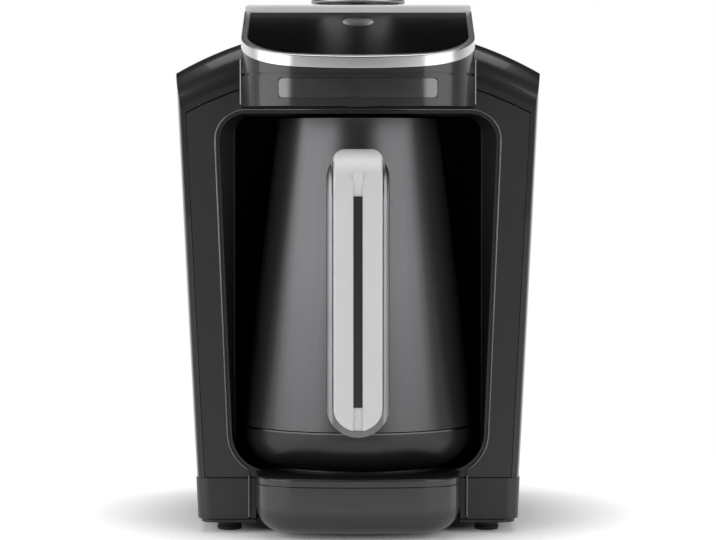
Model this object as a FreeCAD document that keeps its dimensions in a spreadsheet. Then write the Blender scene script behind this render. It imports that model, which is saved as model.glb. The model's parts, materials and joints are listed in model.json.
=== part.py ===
import FreeCAD, Part
import math
import os
import re

from FreeCAD import Vector

# Electric turkish coffee maker, front towards -Y, standing on Z = 0.
# The origin is the bottom centre of the whole machine with its pot in place.

# Driving dimensions in millimetres

SIZES = {
    # Casing
    "body_width": 154.0,
    "base_width": 135.4,
    "casing_depth": 150.0,
    "casing_wall": 2.0,
    "front_rounding": 15.0,
    "side_tuck": 1.8,
    "roof_radius": 155.0,
    "shoulder_rise": 14.5,
    "plate_thick": 2.6,
    "seam_gap": 0.2,
    "vent_rows": 9,
    "vent_pitch": 6.0,
    "vent_height": 2.4,
    "vent_width": 64.0,
    "vent_rise": 95.0,
    "screw_inset": 11.0,
    "screw_low": 12.0,
    "screw_high": 14.0,
    "screw_seat": 1.8,
    "screw_play": 0.15,
    "screw_sink": 0.2,
    "cross_reach": 1.8,
    "cross_width": 0.7,
    "cross_depth": 0.8,
    # Base and feet
    "foot_height": 4.2,
    "foot_radius": 5.2,
    "foot_inset": 13.0,
    "cover_thick": 1.6,
    "base_rise": 17.6,
    "base_wall": 2.2,
    "base_corner": 6.0,
    "foot_edge": 0.8,
    "foot_bevel": 1.0,
    "cover_margin": 1.2,
    "cover_gap": 0.1,
    "grille_rows": 5,
    "grille_pitch": 6.0,
    "grille_slot": 2.2,
    "grille_width": 28.0,
    "grille_across": 26.0,
    "grille_back": 62.0,
    # Pedestal and platform
    "overhang": 33.0,
    "pedestal_width": 85.0,
    "pedestal_bottom": 2.4,
    "pedestal_round": 11.5,
    "pedestal_floor": 2.2,
    "pedestal_tail": 7.0,
    "pedestal_gap": 0.5,
    "recess_width": 3.4,
    "recess_depth": 1.2,
    "pedestal_wall": 2.2,
    "pedestal_corner": 19.0,
    "bow_radius": 160.0,
    "deck_thick": 3.2,
    "deck_step": 2.8,
    "deck_edge": 0.9,
    "deck_tail": 12.0,
    "floor_gap": 0.3,
    "parting": 0.3,
    # Hot plate and probe
    "hot_radius": 36.0,
    "hot_thick": 6.0,
    "hot_stand": 1.3,
    "hot_edge": 0.8,
    "groove_inset": 9.0,
    "groove_width": 1.6,
    "groove_depth": 0.4,
    "plate_bore": 0.6,
    "seal_gap": 1.6,
    "seal_play": 0.05,
    "seal_height": 3.4,
    "element_radius": 24.0,
    "element_tube": 3.2,
    "element_sweep": 320.0,
    "element_turn": 110.0,
    "shield_thick": 0.8,
    "shield_drop": 8.4,
    "can_gap": 1.0,
    "can_wall": 1.6,
    "can_notch": 30.0,
    "probe_radius": 6.0,
    "probe_stem": 3.0,
    "probe_gap": 0.08,
    "probe_head": 1.6,
    "probe_flush": 0.05,
    "stem_length": 10.5,
    "guide_wall": 2.0,
    "guide_drop": 6.2,
    "guide_flange": 1.4,
    "guide_neck": 1.8,
    "guide_reach": 3.0,
    "spring_turns": 5,
    "spring_reach": 1.3,
    "spring_play": 0.05,
    "spring_wire": 0.6,
    "control_across": 15.0,
    "thermostat_radius": 5.5,
    "thermostat_height": 4.6,
    "thermostat_cap": 4.0,
    "thermostat_button": 1.4,
    "fuse_radius": 2.0,
    "fuse_length": 12.0,
    "fuse_wire": 0.5,
    "fuse_span": 20.0,
    # Pot
    "pot_radius": 49.8,
    "rim_radius": 34.0,
    "pot_wall": 1.4,
    "bowl_rise": 15.9,
    "bowl_round": 13.5,
    "bowl_wall": 1.8,
    "cone_rise": 131.0,
    "pot_setback": 25.0,
    "pot_lift": 0.35,
    "shaft_gap": 2.4,
    # Handle
    "handle_reach": 80.0,
    "handle_width": 25.4,
    "handle_thick": 11.0,
    "handle_drop": 116.0,
    "inlay_width": 20.4,
    "inlay_thick": 3.2,
    "inlay_corner": 5.0,
    "core_corner": 12.0,
    "strip_width": 3.8,
    "strip_length": 85.0,
    "strip_drop": 3.5,
    "handle_sink": 13.0,
    "handle_bend": 19.0,
    "bracket_thick": 1.2,
    "grip_round": 3.2,
    # Niche
    "niche_top_width": 121.0,
    "niche_foot_width": 108.6,
    "niche_corner": 18.0,
    "niche_top_corner": 13.0,
    "funnel_depth": 9.0,
    "liner_wall": 1.8,
    "rim_gap": 1.2,
    "plate_bridge": 1.0,
    # Head
    "head_width": 97.0,
    "head_corner": 27.0,
    "back_corner": 16.0,
    "head_gap": 4.7,
    "head_wall": 2.2,
    "head_front_rise": 20.2,
    "panel_depth": 64.5,
    "panel_slope": 18.5,
    "ring_height": 4.9,
    "ring_width": 2.3,
    "panel_thick": 2.4,
    "panel_sink": 0.7,
    "panel_gap": 0.15,
    "deck_depth": 48.0,
    "lip_rise": 2.6,
    "badge_width": 65.0,
    "badge_height": 7.8,
    "badge_rise": 3.4,
    "badge_thick": 0.9,
    "badge_corner": 1.6,
    "badge_play": 0.2,
    "badge_proud": 0.35,
    "shadow_rise": 12.6,
    "shadow_height": 1.2,
    "shadow_depth": 0.8,
    "sensor_back": 20.0,
    "sensor_radius": 6.0,
    "sensor_play": 0.2,
    "lens_flange": 1.2,
    "flange_lap": 1.6,
    "passage_width": 80.0,
    "passage_lead": 8.0,
    "post_radius": 3.0,
    "post_across": 34.0,
    "post_front": 18.0,
    "post_back": 46.0,
    "trim_width": 1.1,
    "trim_depth": 1.4,
    "trim_rise": 1.0,
    "trim_length": 19.0,
    "trim_gap": 0.02,
    "ring_lap": 0.3,
    "ring_edge": 0.9,
    "ring_seat": 0.05,
    "deck_gap": 0.1,
    "deck_round": 1.4,
    "deck_wall": 4.0,
    "deck_skin": 2.4,
    "deck_rear_wall": 12.0,
    "key_back": 14.0,
    "key_gap": 0.1,
    "key_radius": 6.6,
    # Selector knob
    "knob_radius": 20.6,
    "knob_height": 12.0,
    "knob_lift": 1.6,
    "knob_back": 2.0,
    "shaft_radius": 3.0,
    "shaft_play": 0.05,
    "shaft_clear": 1.2,
    "shaft_drop": 10.6,
    "shaft_top": 7.0,
    "knob_skirt": 2.2,
    "knob_cavity": 2.0,
    "knob_edge": 1.1,
    "knob_rim": 2.6,
    "dish_reach": 5.0,
    "dish_depth": 0.9,
    "dish_middle": 1.2,
    "collar_bore": 1.4,
    "collar_inset": 3.4,
    "collar_thick": 1.1,
    "encoder_size": 13.0,
    "encoder_height": 9.0,
    "encoder_bore": 4.6,
    "encoder_floor": 1.0,
    "plunger_radius": 4.5,
    "plunger_height": 5.0,
    "plunger_drop": 6.6,
    # Boards
    "board_thick": 1.6,
    "board_drop": 11.5,
    "board_front": 12.0,
    "board_width": 78.0,
    "board_depth": 46.0,
    "sounder_radius": 6.0,
    "sounder_height": 5.0,
    "power_width": 96.0,
    "power_height": 78.0,
    "power_rise": 34.0,
    "power_back": 34.0,
    "frame_width": 104.0,
    "frame_bar": 10.0,
    "frame_thick": 3.0,
    "frame_rise": 116.0,
    "terminal_width": 40.0,
    "terminal_depth": 14.0,
    "terminal_height": 16.0,
    "terminal_back": 26.0,
    "gland_rise": 16.0,
    "gland_radius": 7.0,
    "gland_length": 9.0,
    "gland_play": 0.1,
    "gland_flange": 9.0,
    "flange_thick": 2.2,
    "gland_bore": 3.4,
    "lead_radius": 1.4,
    "lead_across": 13.0,
    "lead_rise": 8.0,
    "lead_run": 18.0,
    "screw_radius": 2.9,
    "screw_head": 1.6,
}

# Places worked out from the driving dimensions

PLACES = {
    "plate_y": "(handle_reach - pot_setback - casing_depth) / 2",
    "rear_y": "plate_y + casing_depth",
    "pot_y": "plate_y + pot_setback",
    "front_y": "plate_y - overhang",
    "base_z": "foot_height + cover_thick",
    "seam_z": "base_z + base_rise",
    "deck_z": "seam_z + deck_step",
    "hot_z": "deck_z + hot_stand",
    "pot_z": "hot_z + pot_lift",
    "pot_seam_z": "pot_z + bowl_rise",
    "rim_z": "pot_seam_z + cone_rise",
    "head_z": "rim_z + head_gap",
    "shoulder_z": "head_z + shoulder_rise",
    "shaft_half": "pot_radius + shaft_gap",
    "funnel_top_z": "rim_z + rim_gap",
    "ring_z": "head_z + head_front_rise",
    "panel_back_y": "front_y + panel_depth",
    "panel_back_z": "ring_z + panel_depth * tan(panel_slope * 1deg)",
    "lip_z": "panel_back_z + lip_rise",
    "head_back_y": "panel_back_y + deck_depth",
    "knob_y": "panel_back_y + knob_radius + knob_back",
    "knob_z": "lip_z + knob_lift",
    "probe_z": "hot_z - hot_thick",
    "shaft_back_y": "pot_y + shaft_half",
    "board_y": "shaft_back_y + power_back",
    "sensor_y": "front_y + sensor_back",
    "gland_z": "seam_z + gland_rise",
}


def sheet_of_sizes(doc):
    """Spreadsheet with one named cell for each driving dimension."""
    sheet = doc.addObject("Spreadsheet::Sheet", "Sizes")
    for row, (name, value) in enumerate(SIZES.items(), start=1):
        cell = "B%d" % row
        sheet.set("A%d" % row, name)
        sheet.set(cell, "%g" % value)
        sheet.setAlias(cell, name)
    doc.recompute()
    return sheet


def linked(text):
    """Expression text with each named value given its owner."""
    def owner(match):
        word = match.group(0)
        if word in SIZES:
            return "Sizes." + word
        if word in PLACES:
            return "Places." + word
        return word
    return re.sub(r"[a-z_]+", owner, text)


def set_of_places(doc):
    """Worked-out places, each bound to the sheet."""
    places = doc.addObject("App::VarSet", "Places")
    for name, text in PLACES.items():
        places.addProperty("App::PropertyFloat", name)
        places.setExpression(name, linked(text))
    doc.recompute()
    return places


class Values:
    """Reads a driving dimension or a place by its name."""

    def __init__(self, sheet, places):
        self.sheet = sheet
        self.places = places

    def __getattr__(self, name):
        if name in SIZES:
            return float(self.sheet.get(name))
        return float(getattr(self.places, name))


DOC = FreeCAD.newDocument("coffee_maker")
SHEET = sheet_of_sizes(DOC)
SPOTS = set_of_places(DOC)
V = Values(SHEET, SPOTS)
PIECES = []

# Helpers for bound objects


def bind(item, **rules):
    """Bind properties, with a double underscore for each dot."""
    for name, text in rules.items():
        item.setExpression(name.replace("__", "."), linked(text))


def place(item, across="0", along="0", up="0"):
    item.setExpression("Placement.Base.x", linked(across))
    item.setExpression("Placement.Base.y", linked(along))
    item.setExpression("Placement.Base.z", linked(up))


def keep(item, label):
    item.Label = label
    PIECES.append(item)
    return item


def block(width, depth, height, across="0", along="0", up="0"):
    """Box centred across and along its place, standing on it."""
    item = DOC.addObject("Part::Box", "Block")
    bind(item, Length=width, Width=depth, Height=height)
    place(item, "%s - (%s) / 2" % (across, width), "%s - (%s) / 2" % (along, depth), up)
    return item


def rod(radius, height, across="0", along="0", up="0", lying=False):
    """Cylinder, upright or lying along the depth."""
    item = DOC.addObject("Part::Cylinder", "Rod")
    bind(item, Radius=radius, Height=height)
    if lying:
        item.Placement = FreeCAD.Placement(Vector(), FreeCAD.Rotation(Vector(1, 0, 0), -90))
    place(item, across, along, up)
    return item


def joined(*items):
    item = DOC.addObject("Part::MultiFuse", "Joined")
    item.Shapes = list(items)
    return item


def less(base, *tools):
    """Base with each tool cut from it."""
    for tool in tools:
        cut = DOC.addObject("Part::Cut", "Less")
        cut.Base = base
        cut.Tool = tool
        base = cut
    return base


def formed(shape, label=None):
    """Piece whose shape the functions below work out from the sheet."""
    item = DOC.addObject("Part::Feature", "Formed")
    item.Shape = shape
    return keep(item, label) if label else item


def origin_plane(body, role):
    for item in body.Origin.OriginFeatures:
        if item.Role == role:
            return item


def outline_sketch(body, role, points):
    """Closed outline of straight edges with both coordinates of each corner bound."""
    import Sketcher
    sketch = body.newObject("Sketcher::SketchObject", "Outline")
    sketch.AttachmentSupport = [(origin_plane(body, role), "")]
    sketch.MapMode = "FlatFace"
    numbers = [(solved(first), solved(second)) for first, second in points]
    count = len(points)
    for index in range(count):
        start = Vector(*numbers[index], 0)
        end = Vector(*numbers[(index + 1) % count], 0)
        sketch.addGeometry(Part.LineSegment(start, end), False)
    for index in range(count):
        following = (index + 1) % count
        sketch.addConstraint(Sketcher.Constraint("Coincident", index, 2, following, 1))
    for index, (first, second) in enumerate(points):
        for kind, text, value in (("DistanceX", first, numbers[index][0]),
                                  ("DistanceY", second, numbers[index][1])):
            number = sketch.addConstraint(Sketcher.Constraint(kind, index, 1, value))
            if not is_number(text):
                sketch.setExpression("Constraints[%d]" % number, linked(text))
    return sketch


def is_number(text):
    return re.fullmatch(r"-?[0-9.]+", text) is not None


def solved(text):
    """Number that an expression gives now."""
    if is_number(text):
        return float(text)
    probe = DOC.addObject("App::VarSet", "Solver")
    probe.addProperty("App::PropertyFloat", "answer")
    probe.setExpression("answer", linked(text))
    probe.recompute()
    answer = float(probe.answer)
    DOC.removeObject(probe.Name)
    return answer


def turned(label, points, across="0", along="0", up="0", rounds=()):
    """Turned piece: (radius, height) corners swept round the upright axis."""
    body = DOC.addObject("PartDesign::Body", "Turned")
    sketch = outline_sketch(body, "XZ_Plane", points)
    revolution = body.newObject("PartDesign::Revolution", "Revolution")
    revolution.Profile = sketch
    revolution.ReferenceAxis = (sketch, ["V_Axis"])
    revolution.Angle = 360
    DOC.recompute()
    round_edges(body, revolution, rounds)
    place(body, across, along, up)
    return keep(body, label)


def round_edges(body, base, rounds):
    """Fillet the circular edges at each (radius, height), by the bound amount."""
    for corner, amount in rounds:
        radius, height = solved(corner[0]), solved(corner[1])
        names = ["Edge%d" % (number + 1) for number, edge in enumerate(base.Shape.Edges)
                 if is_circle_at(edge, radius, height)]
        fillet = body.newObject("PartDesign::Fillet", "Rounding")
        fillet.Base = (base, names)
        bind(fillet, Radius=amount)
        DOC.recompute()
        body.Tip = fillet
        base = fillet


def is_circle_at(edge, radius, height):
    curve = edge.Curve
    if not isinstance(curve, Part.Circle):
        return False
    return abs(curve.Radius - radius) < 0.01 and abs(curve.Center.z - height) < 0.01


# Outlines and solids of the casing, head and pedestal


def corner_cut(previous, corner, following, radius):
    """Tangent points and middle point of a round corner."""
    back = (previous - corner).normalize()
    ahead = (following - corner).normalize()
    half = back.getAngle(ahead) / 2
    reach = radius / math.tan(half)
    middle_way = (back + ahead).normalize()
    middle = corner + middle_way * (radius / math.sin(half) - radius)
    return corner + back * reach, middle, corner + ahead * reach


def rounded_wire(corners, radii):
    """Closed wire through the corners, each with its own rounding."""
    count = len(corners)
    cuts = []
    for index, radius in enumerate(radii):
        before = Vector(corners[index - 1])
        after = Vector(corners[(index + 1) % count])
        cuts.append(corner_cut(before, Vector(corners[index]), after, radius))
    edges = []
    for index, (start, middle, end) in enumerate(cuts):
        edges.append(Part.Arc(start, middle, end).toShape())
        edges.append(Part.LineSegment(end, cuts[(index + 1) % count][0]).toShape())
    return Part.Wire(edges)


def half_width(height):
    """Half width of the casing, which flares upwards."""
    share = (height - V.base_z) / (V.shoulder_z - V.base_z)
    return (V.base_width + (V.body_width - V.base_width) * share) / 2


def casing_wire(inset, drop, along, bottom):
    """Front-view outline: leaning sides under an arched roof."""
    top = V.shoulder_z - drop
    low = half_width(bottom) - inset
    high = half_width(V.shoulder_z) - inset - (V.body_width - V.base_width) / 2 \
        * drop / (V.shoulder_z - V.base_z)
    crown = top + V.roof_radius - math.sqrt(V.roof_radius ** 2 - high ** 2)
    left_foot, right_foot = Vector(-low, along, bottom), Vector(low, along, bottom)
    left, right = Vector(-high, along, top), Vector(high, along, top)
    return Part.Wire([
        Part.LineSegment(left_foot, right_foot).toShape(),
        Part.LineSegment(right_foot, right).toShape(),
        Part.Arc(right, Vector(0, along, crown), left).toShape(),
        Part.LineSegment(left, left_foot).toShape()])


def casing_solid(inset, bottom, back):
    """Casing volume with its front edge rounded back to the sides and the roof."""
    steps = 6
    wires = []
    for step in range(steps + 1):
        angle = math.pi / 2 * step / steps
        share = 1 - math.sin(angle)
        along = V.plate_y + V.front_rounding * (1 - math.cos(angle))
        wires.append(casing_wire(inset + V.side_tuck * share,
                                 inset + V.front_rounding * share, along, bottom))
    rounded = Part.makeLoft(wires, True, False)
    start = wires[-1]
    straight = Part.Face(start).extrude(Vector(0, back - V.plate_y - V.front_rounding, 0))
    return rounded.fuse(straight)


def d_plan(half, front, back, inset, height, front_round, back_round=0.0):
    """D-shaped plan: bowed front, round front corners, straight sides and a straight back."""
    side = half - inset
    corner = front_round - inset
    bow = V.bow_radius - inset
    tip = front + inset
    centre = Vector(0, tip + bow, height)
    across = side - corner
    drop = math.sqrt((bow - corner) ** 2 - across ** 2)
    corner_y = centre.y - drop
    heading = Vector(across, -drop, 0).normalize()
    touch = centre + heading * bow
    middle_way = (heading + Vector(1, 0, 0)).normalize()
    middle = Vector(across, corner_y, height) + middle_way * corner

    def mirrored(point):
        return Vector(-point.x, point.y, point.z)
    side_top = Vector(side, corner_y, height)
    side_end = Vector(side, back - back_round, height)
    back_end = Vector(side - back_round, back, height)
    edges = [
        Part.LineSegment(mirrored(side_end), mirrored(side_top)).toShape(),
        Part.Arc(mirrored(side_top), mirrored(middle), mirrored(touch)).toShape(),
        Part.Arc(mirrored(touch), Vector(0, tip, height), touch).toShape(),
        Part.Arc(touch, middle, side_top).toShape(),
        Part.LineSegment(side_top, side_end).toShape()]
    if back_round:
        share = back_round * (1 - math.sqrt(0.5))
        turn = Vector(side - share, back - share, height)
        edges.append(Part.Arc(side_end, turn, back_end).toShape())
        edges.append(Part.LineSegment(back_end, mirrored(back_end)).toShape())
        edges.append(Part.Arc(mirrored(back_end), mirrored(turn), mirrored(side_end)).toShape())
    else:
        edges.append(Part.LineSegment(side_end, mirrored(side_end)).toShape())
    return Part.Wire(edges)


def prism(wire, rise):
    return Part.Face(wire).extrude(Vector(0, 0, rise))


def head_prism(inset, bottom, top, back=None):
    end = V.head_back_y - inset if back is None else back
    back_round = V.back_corner - inset
    plan = d_plan(V.head_width / 2, V.front_y, end, inset, bottom, V.head_corner, back_round)
    return prism(plan, top - bottom)


def pedestal_prism(inset, bottom, top, back):
    plan = d_plan(V.pedestal_width / 2, V.front_y, back, inset, bottom, V.pedestal_corner)
    return prism(plan, top - bottom)


def shaft_plan(half, height, front):
    """U-shaped plan of the niche: straight sides and a round back about the pot."""
    left, right = Vector(-half, V.pot_y, height), Vector(half, V.pot_y, height)
    back = Vector(0, V.pot_y + half, height)
    front_left, front_right = Vector(-half, front, height), Vector(half, front, height)
    return Part.Wire([
        Part.LineSegment(front_left, front_right).toShape(),
        Part.LineSegment(front_right, right).toShape(),
        Part.Arc(right, back, left).toShape(),
        Part.LineSegment(left, front_left).toShape()])


def niche_wire(grow, along):
    """Niche outline on the front plate, wider at the top."""
    top, foot = V.niche_top_width / 2 + grow, V.niche_foot_width / 2 + grow
    low, high = V.seam_z + 1 - grow, V.head_z - V.plate_bridge + grow
    corners = [(-foot, along, low), (foot, along, low), (top, along, high), (-top, along, high)]
    lower, upper = V.niche_corner + grow, V.niche_top_corner + grow
    return rounded_wire(corners, [lower, lower, upper, upper])


def throat_wire(grow, along):
    """Inner outline of the funnel, just wide enough for the pot."""
    half = V.shaft_half + grow
    low, high = V.deck_z - 0.4 - grow, V.funnel_top_z + grow
    corners = [(-half, along, low), (half, along, low), (half, along, high), (-half, along, high)]
    return rounded_wire(corners, [10 + grow, 10 + grow, 8 + grow, 8 + grow])


def box_between(low, high):
    size = Vector(*high) - Vector(*low)
    return Part.makeBox(size.x, size.y, size.z, Vector(*low))


def tilted_slab(offset, thick, front, back):
    """Slab parallel to the sloped panel, its top the given distance below the ring's top."""
    slope = math.tan(math.radians(V.panel_slope))
    wide = V.head_width

    def level(along):
        return V.ring_z + (along - V.front_y) * slope - offset
    corners = [Vector(-wide, front, level(front)), Vector(-wide, back, level(back)),
               Vector(-wide, back, level(back) - thick), Vector(-wide, front, level(front) - thick)]
    return Part.Face(Part.makePolygon(corners + corners[:1])).extrude(Vector(2 * wide, 0, 0))


# Casing


def under_slope(offset):
    """Space below the sloped ring and panel, level behind them."""
    front = V.front_y - 5
    tall = V.lip_z + 60
    below = tilted_slab(offset, tall, front, V.panel_back_y)
    behind = box_between((-V.head_width, V.panel_back_y, 0),
                         (V.head_width, V.head_back_y + 5, V.panel_back_z - offset))
    return below.fuse(behind)


def head_cut():
    return head_prism(-V.parting, V.head_z - V.parting, V.lip_z + 50)


def pedestal_passage(back):
    return pedestal_prism(-V.parting, 0, V.deck_z + 1, back)


def pedestal_recess():
    """Shallow step round the pedestal in the front of the base and the plate."""
    return pedestal_prism(-V.recess_width, 0, V.deck_z + 1, V.plate_y + V.recess_depth)


def make_casing_shell():
    outer = casing_solid(0, V.seam_z, V.rear_y)
    inner = casing_solid(V.casing_wall, V.seam_z - 10, V.rear_y + 10)
    shell = outer.cut(inner).cut(head_cut())
    formed(shell, "casing_shell")


def plate_blank():
    """Front plate with its niche opening, before the pedestal and the head pass through."""
    gap = V.casing_wall + V.seam_gap
    edge = casing_wire(V.side_tuck + gap, V.front_rounding + gap, V.plate_y, V.seam_z + V.seam_gap)
    plate = Part.Face(edge).extrude(Vector(0, V.plate_thick, 0))
    return plate.cut(Part.Face(niche_wire(0, V.plate_y - 1)).extrude(Vector(0, V.plate_thick + 2, 0)))


def make_front_plate():
    plate = plate_blank()
    plate = plate.cut(pedestal_passage(V.plate_y + 20)).cut(pedestal_recess())
    formed(plate.cut(head_cut()), "front_plate")


def make_niche_liner():
    """Funnel from the front plate to the throat, then a U-shaped shaft."""
    wall = V.liner_wall
    start, end = V.plate_y + 0.5, V.plate_y + V.funnel_depth
    outer = Part.makeLoft([niche_wire(0, start), throat_wire(wall, end)], True, True)
    inner = Part.makeLoft([niche_wire(-wall, start), throat_wire(0, end)], True, True)
    bottom, top = V.deck_z + V.seam_gap, V.funnel_top_z + wall
    rise = top - bottom
    shaft = prism(shaft_plan(V.shaft_half + wall, bottom, end - 0.5), rise)
    space = prism(shaft_plan(V.shaft_half, bottom - 1, end - 5), rise - wall + 1)
    window = Part.makeCylinder(9, 20, Vector(0, V.pot_y, top - 10))
    liner = outer.cut(inner).fuse(shaft.cut(space)).cut(window).cut(plate_blank())
    passage = pedestal_prism(-V.parting, 0, V.deck_z + 0.1, end + 1)
    floor = box_between((-90, V.plate_y - 1, 0), (90, end + 1, V.seam_z + 0.3))
    formed(liner.cut(passage).cut(floor).removeSplitter(), "niche_liner")


def make_rear_cover():
    """Closing plate with vent slots and the opening of the cord gland."""
    gap = V.casing_wall + V.seam_gap
    edge = casing_wire(gap, gap, V.rear_y - V.plate_thick, V.seam_z + V.seam_gap)
    plate = Part.Face(edge).extrude(Vector(0, V.plate_thick, 0))
    half = V.vent_width / 2
    for row in range(int(V.vent_rows)):
        low = V.seam_z + V.vent_rise + row * V.vent_pitch
        high = low + V.vent_height
        plate = plate.cut(box_between((-half, V.rear_y - 10, low), (half, V.rear_y + 1, high)))
    for across, up in screw_spots():
        seat = Part.makeCylinder(V.screw_radius + V.screw_play, V.screw_seat,
                                 Vector(across, V.rear_y, up), Vector(0, -1, 0))
        plate = plate.cut(seat)
    gland = Part.makeCylinder(V.gland_radius + V.gland_play, 20,
                              Vector(0, V.rear_y - 10, V.gland_z), Vector(0, 1, 0))
    formed(plate.cut(gland), "rear_cover")


def screw_spots():
    low, high = V.seam_z + V.screw_low, V.shoulder_z - V.screw_high
    return [(side * (half_width(up) - V.screw_inset), up) for up in (low, high) for side in (-1, 1)]


def make_rear_screws():
    names = ("low_left", "low_right", "high_left", "high_right")
    for name, (across, up) in zip(names, screw_spots()):
        face = V.rear_y - V.screw_sink
        head = Part.makeCylinder(V.screw_radius, V.screw_head, Vector(across, face, up), Vector(0, -1, 0))
        reach, half = V.cross_reach, V.cross_width / 2
        for wide, tall in ((reach, half), (half, reach)):
            head = head.cut(box_between((across - wide, face - V.cross_depth, up - tall),
                                        (across + wide, face + 1, up + tall)))
        formed(head, "rear_screw_" + name)


def base_block(inset, bottom, top, shrink=0.0):
    """Base volume: plan rounded at its corners, sides leaning with the casing."""
    radius = V.base_corner - inset / 2
    wires = []
    for height in (bottom, top):
        half = half_width(height) - inset - shrink
        front, back = V.plate_y + inset + shrink, V.rear_y - inset - shrink
        corners = [(-half, front, height), (half, front, height),
                   (half, back, height), (-half, back, height)]
        wires.append(rounded_wire(corners, [radius] * 4))
    return Part.makeLoft(wires, True, True)


def make_base():
    wall = V.base_wall
    outer = base_block(0, V.base_z, V.seam_z)
    inner = base_block(wall, V.base_z - 1, V.seam_z + 1)
    shell = outer.cut(inner).cut(pedestal_passage(V.plate_y + wall + V.pedestal_tail + 1))
    formed(shell.cut(pedestal_recess()), "base_shell")


def make_bottom_cover():
    cover = base_block(0, V.foot_height, V.base_z - V.cover_gap, shrink=V.cover_margin)
    cover = cover.cut(pedestal_passage(V.plate_y + V.base_wall + V.pedestal_tail + 1))
    half = V.grille_width / 2
    for across in (-V.grille_across, V.grille_across):
        for row in range(int(V.grille_rows)):
            near = V.pot_y + V.grille_back + row * V.grille_pitch
            far = near + V.grille_slot
            cover = cover.cut(box_between((across - half, near, 0), (across + half, far, V.base_z)))
    formed(cover, "bottom_cover")


def make_feet():
    across = "base_width / 2 - foot_inset"
    for name, x_text, y_text in (
            ("front_left", "-(%s)" % across, "plate_y + foot_inset"),
            ("front_right", across, "plate_y + foot_inset"),
            ("back_left", "-(%s)" % across, "rear_y - foot_inset"),
            ("back_right", across, "rear_y - foot_inset")):
        points = [("0", "0"), ("foot_radius - foot_edge", "0"), ("foot_radius", "foot_bevel"),
                  ("foot_radius", "foot_height"), ("0", "foot_height")]
        turned("foot_" + name, points, x_text, y_text, "0")


# Pedestal, platform and hot plate


def make_pedestal():
    """Drum under the platform, its lower edge rounded under."""
    back = V.plate_y + V.base_wall + V.pedestal_tail
    top = V.seam_z - V.pedestal_gap
    outer = rounded_below(pedestal_prism(0, V.pedestal_bottom, top, back), V.pedestal_round)
    floor = V.pedestal_bottom + V.pedestal_floor
    inner = pedestal_prism(V.pedestal_wall, floor, top + 1, back + 5)
    inner = rounded_below(inner, V.pedestal_round - V.pedestal_floor)
    formed(outer.cut(inner), "pedestal_shell")


def rounded_below(drum, radius):
    """Round the lower edge of the drum, apart from its straight back."""
    box = drum.BoundBox
    lower = [edge for edge in drum.Edges
             if edge.BoundBox.ZMax < box.ZMin + 0.01 and edge.BoundBox.YMin < box.YMax - 1]
    return drum.makeFillet(radius, lower)


def make_platform():
    """Deck over the drum, which runs back as the floor of the niche."""
    bottom = V.deck_z - V.deck_thick
    front = pedestal_prism(0, bottom, V.deck_z, V.plate_y + V.deck_tail)
    edge = [item for item in front.Edges
            if item.BoundBox.ZMin > V.deck_z - 0.01 and item.BoundBox.YMin < V.plate_y]
    front = front.makeFillet(V.deck_edge, edge)
    floor = prism(shaft_plan(V.shaft_half - V.floor_gap, bottom, V.plate_y + V.deck_tail - 1), V.deck_thick)
    well = Part.makeCylinder(V.hot_radius + V.seal_gap, 20, Vector(0, V.pot_y, bottom - 5))
    formed(front.fuse(floor).removeSplitter().cut(well), "platform")


def make_hot_plate():
    bore = "probe_radius + plate_bore"
    outer = "hot_radius - groove_inset"
    inner = outer + " - groove_width"
    floor = "hot_thick - groove_depth"
    points = [(bore, "0"), ("hot_radius", "0"), ("hot_radius", "hot_thick"), (outer, "hot_thick"),
              (outer + " - groove_depth", floor), (inner + " + groove_depth", floor),
              (inner, "hot_thick"), (bore, "hot_thick")]
    turned("hot_plate", points, along="pot_y", up="hot_z - hot_thick",
           rounds=[(("hot_radius", "hot_thick"), "hot_edge")])


def make_plate_seal():
    inner, outer = "hot_radius + seal_play", "hot_radius + seal_gap - seal_play"
    points = [(inner, "0"), (outer, "0"), (outer, "seal_height"), (inner, "seal_height")]
    turned("plate_seal", points, along="pot_y", up="deck_z - deck_thick")


def make_element():
    """Tube element: an open ring pressed to the underside of the plate."""
    tube = V.element_tube
    centre = Vector(0, V.pot_y, V.hot_z - V.hot_thick - tube)
    circle = Part.Wire(Part.makeCircle(tube, centre + Vector(V.element_radius, 0, 0), Vector(0, 1, 0)))
    ring = Part.Face(circle).revolve(centre, Vector(0, 0, 1), V.element_sweep)
    turn = FreeCAD.Rotation(Vector(0, 0, 1), V.element_turn)
    ring.Placement = FreeCAD.Placement(centre, turn, Vector()).multiply(
        FreeCAD.Placement(-centre, FreeCAD.Rotation()))
    formed(ring, "heating_element")


def make_heat_shield():
    inner, outer = "probe_stem + guide_wall", "hot_radius - can_gap"
    points = [(inner, "0"), (outer, "0"), (outer, "shield_thick"), (inner, "shield_thick")]
    turned("heat_shield", points, along="pot_y", up="probe_z - shield_drop")


def make_burner_can():
    """Steel skirt under the plate, standing on the bottom cover, notched for the leads."""
    rise = "probe_z - base_z"
    can = less(rod("hot_radius - can_gap + can_wall", rise, "0", "pot_y", "base_z"),
               rod("hot_radius - can_gap", rise, "0", "pot_y", "base_z"),
               block("can_notch", "can_notch", rise, "0", "pot_y + hot_radius", "base_z - 1"))
    keep(can, "burner_can")


def make_probe():
    """Sprung feeler in the middle of the plate, with a stem in a guide."""
    under, top = "hot_thick - probe_head", "hot_thick - probe_flush"
    points = [("0", "-stem_length"), ("probe_stem", "-stem_length"), ("probe_stem", under),
              ("probe_radius", under), ("probe_radius", top), ("0", top)]
    turned("probe", points, along="pot_y", up="probe_z")
    bore, neck, flange = "probe_stem + probe_gap", "probe_stem + guide_wall", "probe_radius + guide_reach"
    seat = "-guide_drop - guide_flange"
    foot = seat + " - guide_neck"
    guide = [(bore, foot), (neck, foot), (neck, seat), (flange, seat),
             (flange, "-guide_drop"), (bore, "-guide_drop")]
    turned("probe_guide", guide, along="pot_y", up="probe_z")


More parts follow.
